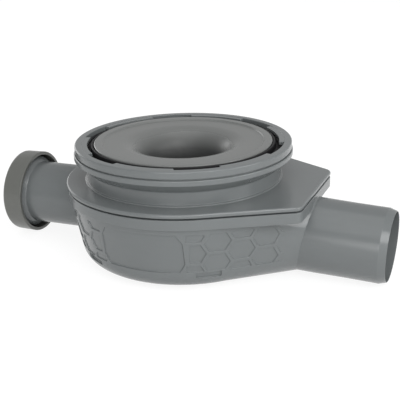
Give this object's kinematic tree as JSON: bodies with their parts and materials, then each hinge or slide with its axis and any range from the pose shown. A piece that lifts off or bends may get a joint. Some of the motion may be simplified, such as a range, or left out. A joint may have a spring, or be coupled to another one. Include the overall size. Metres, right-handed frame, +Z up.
{
  "type": "floor drain",
  "caption": "Shallow plastic floor drain body with a side inlet, a falling outlet spigot, a bayonet collar and a lift-out funnel trap.",
  "frame": {"origin": "where the vertical axis of the neck meets the flat underside of the bowl", "axes": "+Z up along the neck, +X along the outlet, -X along the inlet"},
  "size_m": [0.277, 0.1616, 0.085],
  "materials": {
    "shell": "moulded, satin",
    "insert": "moulded, satin",
    "seal": "moulded rubber",
    "cap": "moulded, satin"
  },
  "bodies": {
    "root": {"drain_bowl": "shell", "cover_plate": "shell", "collar_seal": "seal", "trap_funnel": "insert", "trap_cup": "insert", "trap_gasket": "seal", "inlet_seal": "seal", "inlet_cap": "cap"}
  },
  "joints": []
}
